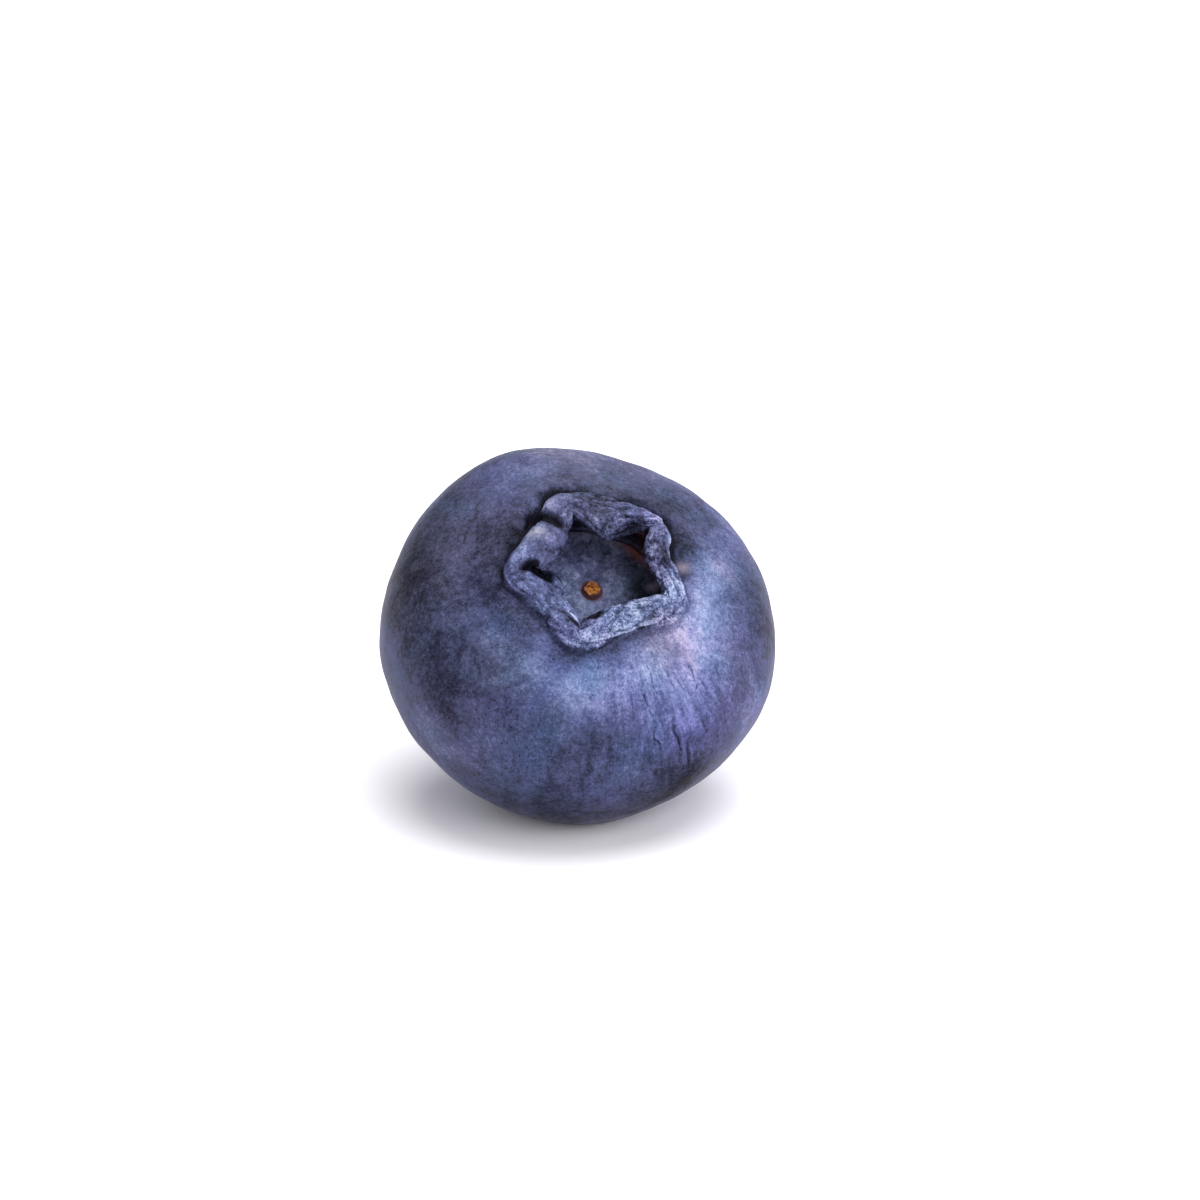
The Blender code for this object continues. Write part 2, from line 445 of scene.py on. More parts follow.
def in_pit(longitude, station, pit):
    """1 in the middle of a pit by a notch, falling off as a bell round it and, with a flatter top,
    across it."""
    along = (station - pit["station"]) / pit["length"]
    return beside(longitude, pit["longitude"], pit["width"]) * np.exp(-(along ** 4))


def creases(longitude, stations, points):
    """0 along thin creases that run round the lobes, and up to 1 on the folds between them: the
    size of a random field that is drawn out round the lobes, cut off at 1."""
    around = CREASES["around"] * np.radians(longitude)
    along = CREASES["along"] * stations[:, None] * np.ones_like(longitude)
    drawn = np.stack([around, along, CREASES["across"] * points[..., 2]], axis=-1)
    return np.minimum(1.0, CREASES["gain"] * np.abs(waves(drawn, CREASE_WAVES)))


def ridges(longitude, station, sway, form):
    """A sine wave round the crown, swayed by a random field, within a bell along the stations."""
    round_crown = np.sin(np.radians(longitude) * form["count"] + sway)
    return form["height"] * round_crown * hump(station, form["station"], form["length"])


def uneven(stations, longitude, points):
    """Each point's station, wandering a little so that no edge that follows it is even."""
    return stations[:, None] * np.ones_like(longitude) + waves(points, STATION_WANDER)


def scar_relief(points):
    """The collar round the stem scar, a bell over the radius, and the rough cork within it."""
    radius = np.hypot(points[..., 0], points[..., 1])
    below = points[..., 2] < 0.0
    cork = (1.0 - smooth(*CORK_FADE, radius)) * below
    collar = hump(radius, SCAR_EDGE, COLLAR_WIDTH) * below
    return COLLAR_HEIGHT * collar + cork * (waves(points, CORK_WAVES) - CORK_SINK)


def relief(points, stations, longitude, unit):
    """How far each point of the skin stands out, in millimetres.

    Low waves on the body, puckers by the crown, a groove round it, folded and crusted lobes with a
    cleft, a crease and pits, a wart, and the scar's collar and cork are added up, each within its
    own range of stations.
    """
    station = uneven(stations, longitude, points)
    rough = across_lobes(longitude, LOBE_ROUGHNESS)
    out = (1.0 - smooth(*BODY_FADE, station)) * waves(points, BODY_WAVES)
    crust = waves(points, CRUST_WAVES) - CRUST_SINK
    crust = crust + CREASES["rise"] * creases(longitude, stations, points)
    out += rough * between(LOBE_ONSET, LOBE_FADE, station) * crust
    out += between(DISC_ONSET, DISC_FADE, station) * waves(points, DISC_WAVES)
    out += rough * ridges(longitude, station, waves(points, FOLD_SWAY), FOLDS)
    puckers = ridges(longitude, station, waves(points, PUCKER_SWAY), PUCKERS)
    out += puckers * (station < BODY_END)
    depth = GROOVE_DEPTH + UPPER_GROOVE_DEPTH * far_side(longitude) ** 2
    out -= depth * hump(station, GROOVE_STATION, GROOVE_LENGTH)
    cleft = in_cleft(longitude, station, CLEFT["width"])
    out -= CLEFT["depth"] * cleft * between(CLEFT_ONSET, CLEFT_FADE, station)
    for pit in PITS:
        out -= pit["depth"] * in_pit(longitude, station, pit)
    out -= CREASE["depth"] * on_patch(longitude, station, CREASE)
    out += WART_HEIGHT * bell(unit, **WART) * (station < CREST_STATION)
    out += scar_relief(points)
    return out + waves(points, STYLE_WAVES) * smooth(*STYLE_ONSET, station)


def skin_points():
    """The fine skin in millimetres as the berry lies, and each point's place in the berry's own
    frame, station, longitude, direction from the body's middle and relief.

    The grid is laid down, pushed out by the swellings, and then pushed out by the relief along its
    own normals. What would go below the floor is flat on it.
    """
    grid, stations = skin_grid()
    radius, height, longitude = np.moveaxis(grid, -1, 0)
    turn = np.radians(longitude)
    own = np.stack([radius * np.cos(turn), radius * np.sin(turn), height], axis=-1)
    points = own @ lie_matrix().T
    length = np.linalg.norm(points, axis=-1)[..., None]
    unit = points / np.maximum(length, TINY)
    growth = np.zeros(points.shape[:-1])
    for item in SWELLINGS:
        growth += item["height"] * bell(unit, item["at"], item["width"])
    points = points + unit * growth[..., None]
    out = relief(own, stations, longitude, unit)
    points = points + grid_normals(points) * out[..., None]
    points = points + BODY_MIDDLE
    points[..., 2] = np.maximum(points[..., 2], 0.0)
    return points, own, stations, longitude, unit, out


def one_per_pole(grid):
    """Grid rows as one list of points, with a single point at each pole."""
    flat = grid.reshape(grid.shape[0], grid.shape[1], -1)
    return np.concatenate([flat[0, :1], flat[1:-1].reshape(-1, flat.shape[-1]), flat[-1, :1]])


# Where the bloom is thick or rubbed off, as the berry lies, and where light and shade are painted in
# as more or less wax: a painted highlight in a band facing the front right, and painted shade on the
# left side and under the crown's lower lip. Each patch has its azimuth and elevation, its width in
# degrees, and how much wax there is against the even coat.
EVEN_WAX = 0.5
BLOOM_AND_LIGHT_PATCHES = (
    {"at": (-111, 23), "width": 6, "wax": -0.14},
    {"at": (-120, -18), "width": 7, "wax": 0.12},
    {"at": (-126, -30), "width": 9, "wax": -0.12},
    {"at": (-61, -7), "width": 6, "wax": 0.10},
    {"at": (-49, -4), "width": 7, "wax": 0.18},
    {"at": (12, 25), "width": 7, "wax": 0.16},
    {"at": (-41, -9), "width": 7, "wax": -0.12},
    {"at": (166, 47), "width": 11, "wax": -0.12},
    {"at": (-141, -4), "width": 7, "wax": 0.14},
    {"at": (-120, 16), "width": 8, "wax": 0.12},
    {"at": (-75, -24), "width": 7, "wax": 0.10},
    {"at": (-60, -40), "width": 10, "wax": -0.18},
    {"at": (110, 65), "width": 12, "wax": 0.18},
    {"at": (-166, 4), "width": 6, "wax": 0.12},
    {"at": (-23, -15), "width": 8, "wax": 0.20},
    {"at": (-50, -26), "width": 7, "wax": -0.14},
    {"at": (-43, 14), "width": 15, "wax": 0.38},
    {"at": (-60, 12), "width": 8, "wax": 0.18},
    {"at": (-69, 5), "width": 8, "wax": 0.24},
    {"at": (-28, 27), "width": 9, "wax": 0.20},
    {"at": (-13, 30), "width": 9, "wax": 0.24},
    {"at": (-89, 2), "width": 11, "wax": 0.40},
    {"at": (-93, 13), "width": 6, "wax": -0.34},
    {"at": (-46, 20), "width": 6, "wax": 0.10},
    {"at": (-106, 9), "width": 9, "wax": 0.20},
    {"at": (-84, -14), "width": 9, "wax": -0.16},
    {"at": (-133, 1), "width": 17, "wax": -0.22},
    {"at": (-136, -16), "width": 8, "wax": 0.14},
    {"at": (-165, 20), "width": 18, "wax": -0.14},
    {"at": (-50, -34), "width": 10, "wax": -0.30},
    {"at": (-144, 54), "width": 12, "wax": -0.27},
    {"at": (-126, 37), "width": 11, "wax": -0.26},
    {"at": (-158, 22), "width": 10, "wax": -0.12},
    {"at": (-16, 43), "width": 6, "wax": -0.30},
    {"at": (14, 54), "width": 9, "wax": -0.20},
    {"at": (-172, 36), "width": 12, "wax": -0.12},
    {"at": (-94, -44), "width": 22, "wax": -0.24},
    {"at": (-4, 8), "width": 12, "wax": -0.20},
)
# Where the skin is rubbed bare in lines.
RUBBED = {"at": (-60, -14), "width": 24}
# Thin scratches in the bloom, each between two directions from the body's middle, with its width in
# millimetres and the wax that it loses.
SCRATCHES = (
    {"start": (-67, 1), "end": (-64, -20), "width": 0.06, "loss": 0.34},
    {"start": (-59, -10), "end": (-55, -23), "width": 0.09, "loss": 0.30},
    {"start": (-64, 6), "end": (-62, -5), "width": 0.05, "loss": 0.30},
    {"start": (-49, 5), "end": (-48, -4), "width": 0.05, "loss": 0.30},
    {"start": (-54, 3), "end": (-53, -4), "width": 0.05, "loss": 0.25},
    {"start": (-171, 54), "end": (-156, 42), "width": 0.12, "loss": 0.14},
    {"start": (-178, 57), "end": (-163, 47), "width": 0.10, "loss": 0.12},
)
# Where the colour leans to steel blue, to violet, and to a duskier, warmer shade.
STEEL_BLUE = {"at": (-92, 0), "width": 20}
VIOLET = {"at": (-52, -14), "width": 24}
DUSKY = (
    {"at": (90, 66), "width": 22},
    {"at": (-160, 30), "width": 20},
    {"at": (-57, 11), "width": 9},
    {"at": (-114, 5), "width": 10},
)

# How much more wax than the body's each lobe carries, in the order of the lobes.
LOBE_WAX = (-0.22, -0.04, -0.03, 0.08, 0.02)
# Where the lobes are paler or barer than that, partly real wax and partly painted light and shade:
# a painted highlight on the second lobe, a pale painted line along the third lobe's lip, and painted
# shade on the lobes' outer walls on the lower side. Longitude and width in degrees, station and
# length in stations, and the wax against the lobe's own.
# A painted highlight on the second lobe's upper face, where it faces the light.
LOBE_HIGHLIGHT = {"longitude": 140, "station": 4.8, "width": 8, "length": 1.8}
CROWN_WAX_AND_LIGHT_PATCHES = (
    {**LOBE_HIGHLIGHT, "wax": 0.40},
    {"longitude": 114, "station": 4.6, "width": 7, "length": 1.6, "wax": 0.26},
    {"longitude": 97, "station": 5.0, "width": 9, "length": 1.5, "wax": 0.08},
    {"longitude": 72, "station": 4.0, "width": 18, "length": 1.4, "wax": -0.10},
    {"longitude": 37, "station": 5.2, "width": 7, "length": 1.6, "wax": 0.30},
    {"longitude": 2, "station": 5.6, "width": 10, "length": 1.4, "wax": -0.16},
    {"longitude": 272, "station": 5.0, "width": 12, "length": 1.0, "wax": 0.12},
    {"longitude": 338, "station": 5.4, "width": 12, "length": 1.6, "wax": 0.30},
    {"longitude": 248, "station": 5.2, "width": 9, "length": 0.9, "wax": 0.16},
    {"longitude": 290, "station": 3.2, "width": 22, "length": 0.8, "wax": -0.24},
    {"longitude": 212, "station": 3.3, "width": 19, "length": 0.8, "wax": -0.28},
    {"longitude": 234, "station": 6.7, "width": 9, "length": 0.18, "wax": 0.45},
    {"longitude": 231, "station": 5.8, "width": 11, "length": 0.7, "wax": -0.24},
    {"longitude": 345, "station": 4.3, "width": 8, "length": 0.9, "wax": -0.22},
    {"longitude": 311, "station": 4.5, "width": 8, "length": 1.3, "wax": 0.24},
    {"longitude": 256, "station": 3.2, "width": 18, "length": 0.7, "wax": -0.42},
    {"longitude": 163, "station": 5.0, "width": 8, "length": 1.4, "wax": 0.16},
    {"longitude": 47, "station": 5.0, "width": 8, "length": 1.0, "wax": 0.14},
    {"longitude": 78, "station": 5.2, "width": 10, "length": 0.8, "wax": 0.12},
    {"longitude": 240, "station": 4.9, "width": 11, "length": 0.7, "wax": 0.15},
    {"longitude": 84, "station": 4.2, "width": 7, "length": 1.0, "wax": -0.16},
    {"longitude": 22, "station": 3.7, "width": 9, "length": 1.0, "wax": 0.24},
    {"longitude": 150, "station": 7.5, "width": 16, "length": 1.5, "wax": -0.20},
    {"longitude": 5, "station": 6.4, "width": 14, "length": 1.2, "wax": -0.14},
)
# The lobes' lips and rim are paler with more wax, in bands along the stations, a painted highlight,
# and so is what stands out, for each millimetre of relief, while the folds are darker: painted light
# and shade. The walls under the lobes are darker with less wax: painted shade.
LIP_HIGHLIGHT = {"station": 7.0, "length": 0.9, "wax": 0.10}
RIM_HIGHLIGHT = {"station": 4.2, "length": 0.9, "wax": 0.12}
RELIEF_SHADING_WAX = 2.6
WALL_SHADE_WAX = -0.45
# The disc's wax: more of it towards the near side, turned by some degrees, a painted light where the
# far rim's shadow doesn't reach; less in the shade of one lobe, a painted shadow; and more in the
# middle on one side. Radii are in millimetres.
DISC_WAX = 0.02
NEAR_DISC_LIGHT_WAX = 0.16
DISC_TURN = 30.0
DISC_SHADE = {"longitude": 338.0, "width": 42.0, "radii": (0.9, 1.9), "wax": -0.44}
DISC_BLUSH = {"longitude": 140.0, "width": 60.0, "radii": (0.8, 1.6), "wax": 0.10}

# Ranges of stations over which the finish comes in or goes out.
WAX_ONSET = (2.0, 4.0)
CROWN_ONSET = (2.2, 4.0)
WALL_ONSET = (8.0, 9.5)
HOLLOW_ONSET = (9.5, 11.5)
DISC_WAX_ONSET = (13.0, 14.5)
# The stations over which the painted shade in the cleft comes in and goes out.
CLEFT_SHADE_ONSET = (1.5, 2.5)
CLEFT_SHADE_FADE = (5.5, 7.5)
# The painted shade in the groove: a dark line in it, and a fainter band round it, all round and more
# on the upper side.
GROOVE_LINE = {"station": GROOVE_STATION + 0.1, "length": 0.45, "all_round": 0.25, "upper": 0.9}
GROOVE_HALO = {"station": GROOVE_STATION - 0.8, "length": 1.8, "side": 0.12, "upper": 0.06}
# The painted shadow in the gap under one lobe's edge.
GAP_SHADOW = {"longitude": 247.0, "width": 15.0, "radii": (1.7, 2.3)}
# The low ring in the hollow is faint, but rust red and wider on one side.
RING_RADIUS = 2.64
RING_WIDTH = 0.11
RING_FAINTNESS = 0.12
RUST = {"longitude": 34.0, "width": 15.0, "widening": 0.12}
# The radii over which the style's stub ends, its dark edge, and how far below the disc they start.
STYLE_FADE = (STYLE_RADIUS - 0.08, STYLE_RADIUS + 0.02)
STYLE_EDGE_RADIUS = STYLE_RADIUS + 0.04
STYLE_EDGE_WIDTH = 0.09
DISC_MARGIN = 0.1
# The radii over which the scar's colour ends, and its barer edge.
SCAR_FADE = (0.9, 1.3)
SCAR_EDGE_WIDTH = 0.3
# How dusky the lobe's painted highlight is against a dusky patch, which warms its colour.
HIGHLIGHT_DUSK = 1.2


def disc_wax(longitude, radius):
    """How much wax the crown's disc carries: more on the near side, a painted light, and in its
    blush, and less in its painted shade."""
    shade = beside(longitude, DISC_SHADE["longitude"], DISC_SHADE["width"])
    blush = beside(longitude, DISC_BLUSH["longitude"], DISC_BLUSH["width"])
    wax = EVEN_WAX + DISC_WAX + NEAR_DISC_LIGHT_WAX * (1.0 - far_side(longitude - DISC_TURN))
    wax += DISC_SHADE["wax"] * shade * smooth(*DISC_SHADE["radii"], radius)
    return wax + DISC_BLUSH["wax"] * blush * (1.0 - smooth(*DISC_BLUSH["radii"], radius))


def wax_amount(unit, radius, station, longitude, out):
    """How much wax each point carries before the finish adds its grain.

    The even coat and its patches, some of them painted light and shade, make up the body's. On the
    crown it is paler on the lips, the rim and what stands out, a painted highlight, and darker in the
    folds and on the walls under the lobes, painted shade.
    """
    wax = np.full(station.shape, EVEN_WAX)
    for patch in BLOOM_AND_LIGHT_PATCHES:
        wax += patch["wax"] * bell(unit, patch["at"], patch["width"])
    crown = EVEN_WAX + across_lobes(longitude, LOBE_WAX) + RELIEF_SHADING_WAX * out
    for band in (LIP_HIGHLIGHT, RIM_HIGHLIGHT):
        crown += band["wax"] * hump(station, band["station"], band["length"])
    for patch in CROWN_WAX_AND_LIGHT_PATCHES:
        crown += patch["wax"] * on_patch(longitude, station, patch)
    crown += smooth(*WALL_ONSET, station) * (EVEN_WAX + WALL_SHADE_WAX - crown)
    crown += smooth(*DISC_WAX_ONSET, station) * (disc_wax(longitude, radius) - crown)
    return wax + smooth(*WAX_ONSET, station) * (crown - wax)


def groove_shade(longitude, station):
    """How dark the groove round the crown is painted, a painted shade, and more faintly the skin
    beside it: two bells along the stations, stronger towards the upper side."""
    line = hump(station, GROOVE_LINE["station"], GROOVE_LINE["length"])
    halo = hump(station, GROOVE_HALO["station"], GROOVE_HALO["length"])
    far = far_side(longitude)
    upper = GROOVE_LINE["upper"] * line + GROOVE_HALO["upper"] * halo
    return GROOVE_LINE["all_round"] * line + upper * far ** 2 + GROOVE_HALO["side"] * halo * far


def painted_recess_shade(longitude, station, radius):
    """How dark the crown is painted in its crease, its cleft, the gap under one lobe and its pits, a
    painted shade in these recesses: the most that any of their bells gives."""
    cleft = in_cleft(longitude, station, CLEFT["shade_width"])
    cleft = cleft * between(CLEFT_SHADE_ONSET, CLEFT_SHADE_FADE, station)
    gap = beside(longitude, GAP_SHADOW["longitude"], GAP_SHADOW["width"]) * smooth(*GAP_SHADOW["radii"], radius)
    gap = gap * smooth(*HOLLOW_ONSET, station)
    pits = [pit["pit_shade"] * in_pit(longitude, station, pit) for pit in PITS]
    return np.max([on_patch(longitude, station, CREASE), cleft, gap, *pits], axis=0)


def attributes(own, stations, longitude, unit, out):
    """What the finish reads at each point of the skin, each value from 0 to about 1."""
    station = uneven(stations, longitude, own)
    radius = np.hypot(own[..., 0], own[..., 1])
    height = own[..., 2]
    on_disc = height > RIM_HEIGHT - HOLLOW_DEPTH - DISC_MARGIN
    on_body = station < BODY_END
    inside = smooth(*HOLLOW_ONSET, station)
    crown = between(CROWN_ONSET, HOLLOW_ONSET, station)
    rust = beside(longitude, RUST["longitude"], RUST["width"])
    ring = hump(radius, RING_RADIUS, RING_WIDTH + RUST["widening"] * rust) * inside
    dusky = sum(bell(unit, **patch) for patch in DUSKY) * on_body
    return {
        "wax": wax_amount(unit, radius, station, longitude, out),
        "crown": crown,
        "crust": crown * across_lobes(longitude, LOBE_ROUGHNESS),
        "hollow": inside,
        "rubbed": bell(unit, **RUBBED) * on_body,
        "steel": bell(unit, **STEEL_BLUE) * on_body,
        "violet": bell(unit, **VIOLET) * on_body,
        "ring": (RING_FAINTNESS + (1.0 - RING_FAINTNESS) * rust) * ring,
        "style": (1.0 - smooth(*STYLE_FADE, radius)) * on_disc,
        "style_edge": hump(radius, STYLE_EDGE_RADIUS, STYLE_EDGE_WIDTH) * on_disc * inside,
        "groove": groove_shade(longitude, station),
        "recess_shade": painted_recess_shade(longitude, station, radius),
        # The dusky tint also warms the lobe's painted highlight.
        "dusky": dusky + HIGHLIGHT_DUSK * on_patch(longitude, station, LOBE_HIGHLIGHT),
        "wart": bell(unit, **WART),
        "scar": (1.0 - smooth(*SCAR_FADE, radius)) * (height < 0.0),
        "scar_edge": hump(radius, SCAR_EDGE, SCAR_EDGE_WIDTH) * (height < 0.0),
    }


def store(mesh, name, kind, field, grid):
    """Keeps a number or a vector for each point on the mesh, where the finish reads it."""
    layer = mesh.attributes.new(name, kind, "POINT")
    layer.data.foreach_set(field, one_per_pole(grid).ravel().astype(np.float32))


def make_skin():
    """The berry's fine skin as one closed mesh, with the values that its finish reads."""
    points, own, stations, longitude, unit, out = skin_points()
    mesh = bpy.data.meshes.new("berry_skin")
    faces = grid_faces(*points.shape[:2])
    mesh.from_pydata((one_per_pole(points) * MM).tolist(), [], faces)
    for name, values in attributes(own, stations, longitude, unit, out).items():
        store(mesh, name, "FLOAT", "value", values)
    turn = np.radians(longitude)
    climbs = {"meridian": own[..., 2], "rim": stations[:, None] * np.ones_like(longitude)}
    for name, climb in climbs.items():
        place = np.stack([np.cos(turn), np.sin(turn), climb], axis=-1)
        store(mesh, name, "FLOAT_VECTOR", "vector", place)
    mesh.shade_smooth()
    mesh.update()
    skin = bpy.data.objects.new("berry_skin", mesh)
    bpy.context.collection.objects.link(skin)
    return skin


# A grain's recipe is its scale per millimetre, detail, roughness and distortion. Streaks are drawn
# out along the berry's meridians or over its rim: their recipe is a scale for going round the berry
# and one for going along them. Each noise in the bloom has the stored value that it goes with, and
# how far it swings the wax either way.
BLOOM_NOISES = (
    {"over": "body", "swing": 0.06, "grain": (0.35, 3.0, 0.55, 0.5)},
    {"over": "body", "swing": 0.09, "grain": (1.1, 4.0, 0.6, 0.8)},
    {"over": "body", "swing": 0.09, "grain": (6.0, 2.0, 0.7, 0.4)},
    {"over": "body", "swing": 0.06, "grain": (14.0, 1.0, 0.7, 0.0)},
    {"over": "hollow", "swing": 0.12, "grain": (2.2, 3.0, 0.6, 0.6)},
    {"over": "rubbed", "swing": 0.12, "streaks": ("meridian", 30.0, 1.0)},
    {"over": "crust", "swing": 0.13, "streaks": ("rim", 9.0, 2.6)},
    {"over": "crust", "swing": 0.14, "grain": (3.2, 2.0, 0.6, 0.8)},
    {"over": "crust", "swing": 0.30, "grain": (9.0, 2.0, 0.8, 0.5)},
)
# The range of a noise that swings the wax from its least to its most, and the grain that streaks
# are made of, whose scale is in their mapping.
NOISE_MIDDLE = (0.3, 0.7)
STREAK_GRAIN = (1.0, 3.0, 0.6)
# The wax lost in what the skin's stored values mark: painted shade in the groove and in the crown's
# recesses, and the barer edge round the stem scar.
MARK_LOSSES = {"groove": 0.5, "recess_shade": 0.5, "scar_edge": 0.3}
# Pale specks on the crust, bare pores, and worn lines where the skin is rubbed. The pores and the
# lines are broken up by a grain, which is cut to a range.
FROST = {"scale": 7.0, "size": 0.30, "wax": 0.12}
PORES = {"scale": 5.5, "size": 0.22, "loss": 0.34, "grain": (0.8, 2.0), "cut": (0.42, 0.6)}
LINES = {"streaks": ("meridian", 18.0, 0.35), "range": (0.58, 0.66), "loss": 0.26}
LINE_BREAKS = {"grain": (1.2, 2.0), "cut": (0.48, 0.58)}
# The scratches waver by this much in millimetres, and are worn away in places.
WOBBLE = {"grain": (1.3, 1.0, 0.5), "cut": (0.25, 0.75), "reach": 0.14}
WEAR = {"grain": (5.0, 2.0, 0.7), "cut": (0.34, 0.56)}
# The share of a pore's size, of a scratch's width and of its half length over which it is whole.
PORE_CORE = 0.4
SCRATCH_CORE = 0.3
SCRATCH_RUN = 0.6

# The colours, in stops from bare skin to thick wax, and from the darkest to the palest cork and
# dry style.
WAX_SHADES = (
    (0.0, (0.0045, 0.0045, 0.009)),
    (0.3, (0.0190, 0.0215, 0.052)),
    (0.55, (0.0560, 0.0670, 0.155)),
    (0.8, (0.1500, 0.1720, 0.320)),
    (1.0, (0.3150, 0.3300, 0.480)),
)
CORK_SHADES = (
    (0.0, (0.026, 0.016, 0.018)),
    (0.6, (0.080, 0.050, 0.042)),
    (1.0, (0.16, 0.115, 0.09)),
)
STYLE_SHADES = (
    (0.0, (0.05, 0.012, 0.004)),
    (0.5, (0.21, 0.060, 0.006)),
    (1.0, (0.36, 0.150, 0.025)),
)
CORK_GRAIN = (5.0, 3.0, 0.7)
STYLE_GRAIN = (6.0, 3.0, 0.7)
SHADE_RANGE = (0.35, 0.65)
# Slow changes of hue: a grain, and the range of it that brings each tint in.
MAUVE_GRAIN = (0.28, 2.0, 0.5)
MAUVE_RANGE = (0.40, 0.62)
MAUVE = (1.0, 0.92, 0.86)
HUE_GRAIN = (0.5, 2.0, 0.5)
HUE_TINTS = (
    {"range": (0.50, 0.62), "tint": (1.02, 0.97, 1.03)},
    {"range": (0.50, 0.38), "tint": (0.90, 1.02, 1.00)},
)
# What the colour is multiplied by, and then what lies over it, where the stored values say so.
TINTS = {
    "steel": (0.86, 1.0, 1.06),
    "violet": (1.02, 0.97, 1.12),
    "dusky": (1.05, 0.97, 0.86),
    "hollow": (0.97, 0.98, 0.88),
}
OVERLAYS = {
    "wart": (0.15, 0.13, 0.18),
    "ring": (0.13, 0.038, 0.032),
    "style_edge": (0.045, 0.010, 0.008),
}

# How the gloss goes from bare skin to thick wax: the range of wax, and the value at its two ends.
ROUGHNESS = (0.1, 0.8, 0.42, 0.72)
SPECULAR_LEVEL = (0.05, 0.45, 0.03, 0.18)
SHEEN_WEIGHT = (0.05, 0.45, 0.01, 0.18)
SPECULAR_TINT = (0.8, 0.86, 1.0, 1.0)
SHEEN_ROUGHNESS = 0.2
SHEEN_TINT = (0.93, 0.86, 0.95, 1.0)
BUMP_GRAINS = ((9.0, 4.0, 0.7), (2.0, 3.0))
BUMP_STRENGTH = 0.5
BUMP_DEPTH = 0.05 * MM

# The Mix node's sockets for colours.
MIX_SHARE = 0
MIX_FIRST = 6
MIX_SECOND = 7
MIX_RESULT = 2
OPAQUE = 1.0


def add_node(tree, kind, wires=None, **settings):
    """A new node with its settings, and each named input wired to a socket or set to a value."""
    node = tree.nodes.new(kind)
    for name, value in settings.items():
        setattr(node, name, value)
    for name, source in (wires or {}).items():
        if isinstance(source, bpy.types.NodeSocket):
            tree.links.new(source, node.inputs[name])
        else:
            node.inputs[name].default_value = source
    return node


def value_of(tree, name):
    """A value stored on the skin's points."""
    return add_node(tree, "ShaderNodeAttribute", attribute_name=name).outputs["Fac"]


def maths(tree, operation, first, second):
    """Two values joined by one operation."""
    node = add_node(tree, "ShaderNodeMath", {0: first, 1: second}, operation=operation)
    return node.outputs[0]


def times(tree, first, second):
    """One value multiplied by another."""
    return maths(tree, "MULTIPLY", first, second)


def grain(tree, place, scale, detail, roughness=0.55, distortion=0.0):
    """Noise from 0 to 1 at a scale per millimetre."""
    wires = {
        "Vector": place,
        "Scale": scale,
        "Detail": detail,
        "Roughness": roughness,
        "Distortion": distortion,
    }
    return add_node(tree, "ShaderNodeTexNoise", wires).outputs["Fac"]


def spread(tree, value, low, high, new_low=0.0, new_high=1.0):
    """A value carried from one range to another along an even curve, and held at its ends."""
    wires = {
        "Value": value,
        "From Min": low,
        "From Max": high,
        "To Min": new_low,
        "To Max": new_high,
    }
    node = add_node(tree, "ShaderNodeMapRange", wires, interpolation_type="SMOOTHSTEP")
    return node.outputs["Result"]


def cut_grain(tree, place, recipe):
    """Noise that is 0 below its recipe's cut, 1 above it, and an even curve between."""
    return spread(tree, grain(tree, place, *recipe["grain"]), *recipe["cut"])


def shades(tree, value, stops):
    """A colour read from a row of stops along a value."""
    node = add_node(tree, "ShaderNodeValToRGB", {"Fac": value})
    bar = node.color_ramp
    while len(bar.elements) < len(stops):
        bar.elements.new(0.5)
    for element, (place, colour) in zip(bar.elements, stops):
        element.position = place
        element.color = (*colour, OPAQUE)
    return node.outputs["Color"]


def mixed(tree, share, first, second, blend="MIX"):
    """A second colour over a first one, or multiplied with it, by a share."""
    node = add_node(tree, "ShaderNodeMix", data_type="RGBA", blend_type=blend)
    tree.links.new(share, node.inputs[MIX_SHARE])
    tree.links.new(first, node.inputs[MIX_FIRST])
    if isinstance(second, bpy.types.NodeSocket):
        tree.links.new(second, node.inputs[MIX_SECOND])
    else:
        node.inputs[MIX_SECOND].default_value = (*second, OPAQUE)
    return node.outputs[MIX_RESULT]


def skin_place(tree):
    """Where a point is, in millimetres."""
    where = add_node(tree, "ShaderNodeTexCoord").outputs["Object"]
    wires = {"Vector": where, "Scale": (1.0 / MM, 1.0 / MM, 1.0 / MM)}
    return add_node(tree, "ShaderNodeMapping", wires).outputs[0]


def streaks(tree, name, around, along):
    """Noise drawn out one way: a scale for going round the berry, and one for going along or up."""
    where = add_node(tree, "ShaderNodeAttribute", attribute_name=name).outputs["Vector"]
    wires = {"Vector": where, "Scale": (around, around, along)}
    drawn = add_node(tree, "ShaderNodeMapping", wires).outputs[0]
    return grain(tree, drawn, *STREAK_GRAIN)


def pores(tree, place, scale, size):
    """1 in small round spots scattered at a scale per millimetre, and 0 elsewhere."""
    wires = {"Vector": place, "Scale": scale}
    spots = add_node(tree, "ShaderNodeTexVoronoi", wires).outputs["Distance"]
    return spread(tree, spots, PORE_CORE * size, size, 1.0, 0.0)


def along_axis(tree, vector, axis):
    """How far a vector goes along an axis."""
    wires = {0: vector, 1: tuple(axis)}
    node = add_node(tree, "ShaderNodeVectorMath", wires, operation="DOT_PRODUCT")
    return node.outputs["Value"]


